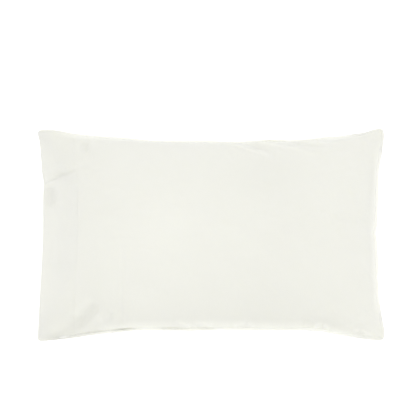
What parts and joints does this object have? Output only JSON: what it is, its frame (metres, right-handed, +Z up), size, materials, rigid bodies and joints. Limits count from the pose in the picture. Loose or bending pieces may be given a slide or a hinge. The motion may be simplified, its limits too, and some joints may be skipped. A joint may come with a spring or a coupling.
{
  "type": "pillowcase",
  "caption": "Filled cream cotton pillowcase lying on its back, with a crowned body, flared corner ears, flat seam bands and an open hemmed mouth at one end.",
  "frame": {"origin": "on the surface the case rests on, under the middle of its box", "axes": "+X from the open mouth to the sewn end, +Y from the near long side to the far one, +Z up through the crown"},
  "size_m": [0.72, 0.482, 0.1706],
  "materials": {
    "cotton": "plain-woven cream cotton, matt with a faint sheen"
  },
  "bodies": {
    "root": {"pillowcase": "cotton"}
  },
  "joints": []
}
